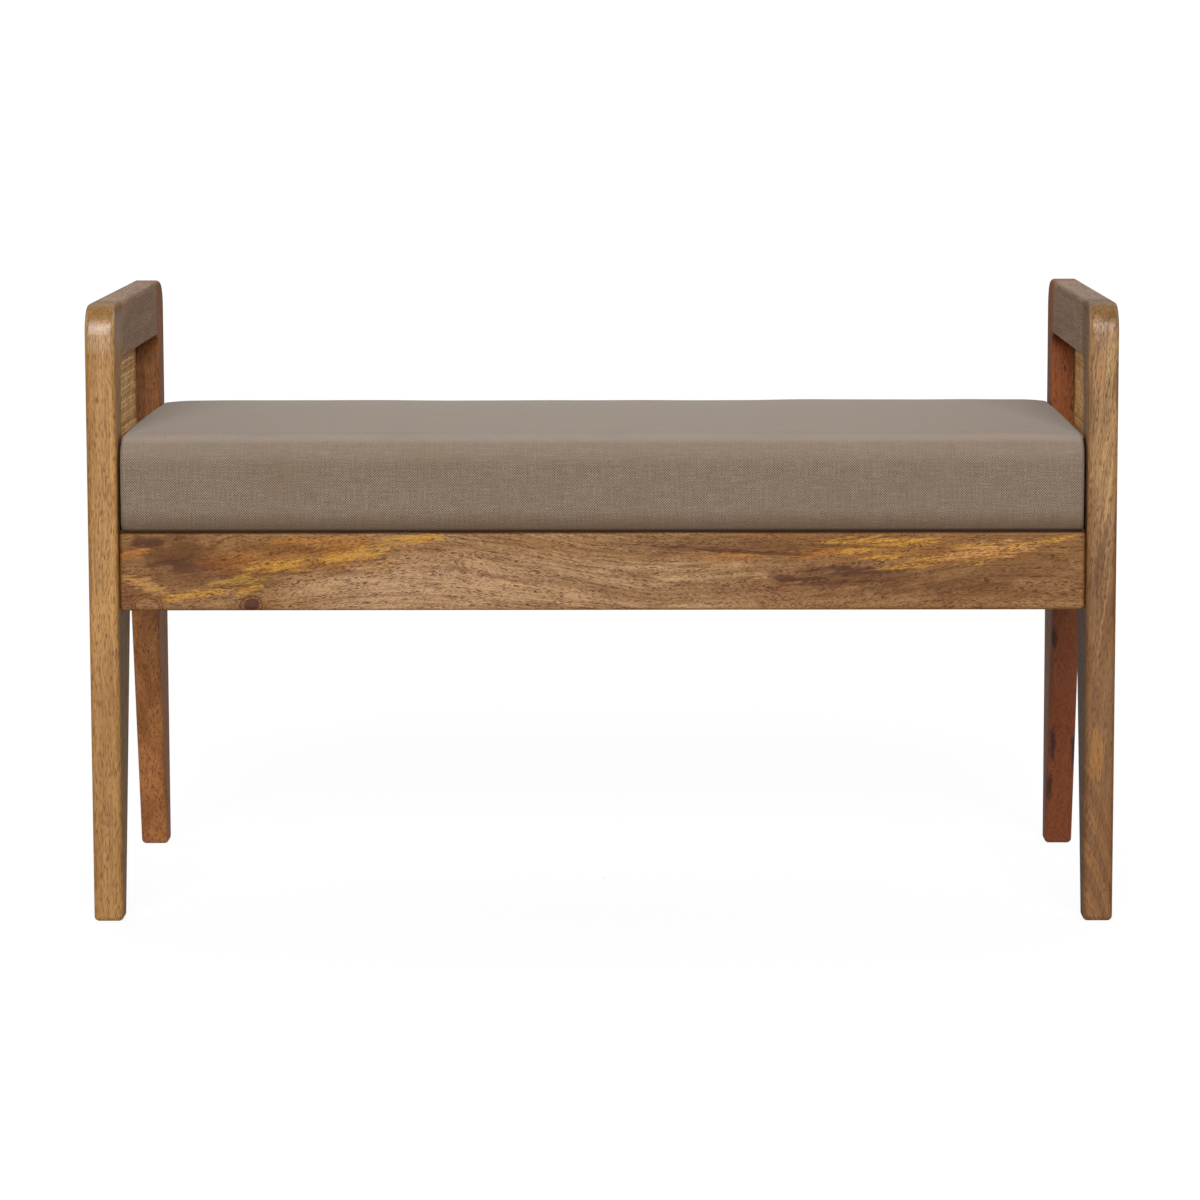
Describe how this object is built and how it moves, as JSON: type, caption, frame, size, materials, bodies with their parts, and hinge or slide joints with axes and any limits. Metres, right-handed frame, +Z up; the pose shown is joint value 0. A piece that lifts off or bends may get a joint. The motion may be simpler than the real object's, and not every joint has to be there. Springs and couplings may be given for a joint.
{
  "type": "bench",
  "caption": "Wooden bench with raised side frames filled with cane webbing, tapered legs, a box-shaped linen seat pad and a flat front rail.",
  "frame": {"origin": "on the floor, under the middle of the bench's box", "axes": "+X along the bench towards the sitter's left arm frame, the right one in the picture; -Y faces the viewer of the picture; +Z up"},
  "size_m": [1, 0.45, 0.606],
  "materials": {
    "oiled_hardwood": "satin clear finish over light brown hardwood with streaked grain",
    "plain_hardwood": "planed hardwood without finish, inside the seat box",
    "cane": "open woven cane webbing, honey brown",
    "linen": "plain-weave linen, taupe, with fine slubs",
    "foam": "polyurethane seat foam",
    "plywood": "unfinished plywood",
    "black_cloth": "thin black non-woven cloth",
    "zinc_steel": "bright zinc plated steel",
    "brass_insert": "plain brass"
  },
  "bodies": {
    "root": {"frame_bolts": "zinc_steel", "frame_inserts": "brass_insert", "frame_washers": "zinc_steel", "front_seat_rail": "oiled_hardwood", "left_arm_rail": "oiled_hardwood", "left_bead_brads": "zinc_steel", "left_bottom_bead": "oiled_hardwood", "left_cane_panel": "cane", "left_end_rail": "plain_hardwood", "left_frame_dowels": "plain_hardwood", "left_front_bead": "oiled_hardwood", "left_front_corner_block": "plain_hardwood", "left_front_leg": "oiled_hardwood", "left_rear_bead": "oiled_hardwood", "left_rear_corner_block": "plain_hardwood", "left_rear_leg": "oiled_hardwood", "left_seat_batten": "plain_hardwood", "left_side_rail": "oiled_hardwood", "left_top_bead": "oiled_hardwood", "pad_board": "plywood", "pad_cover": "linen", "pad_dust_cover": "black_cloth", "pad_foam": "foam", "pad_screws": "zinc_steel", "pad_staples": "zinc_steel", "rear_seat_rail": "oiled_hardwood", "right_arm_rail": "oiled_hardwood", "right_bead_brads": "zinc_steel", "right_bottom_bead": "oiled_hardwood", "right_cane_panel": "cane", "right_end_rail": "plain_hardwood", "right_frame_dowels": "plain_hardwood", "right_front_bead": "oiled_hardwood", "right_front_corner_block": "plain_hardwood", "right_front_leg": "oiled_hardwood", "right_rear_bead": "oiled_hardwood", "right_rear_corner_block": "plain_hardwood", "right_rear_leg": "oiled_hardwood", "right_seat_batten": "plain_hardwood", "right_side_rail": "oiled_hardwood", "right_top_bead": "oiled_hardwood", "seat_box_dowels": "plain_hardwood"}
  },
  "joints": []
}
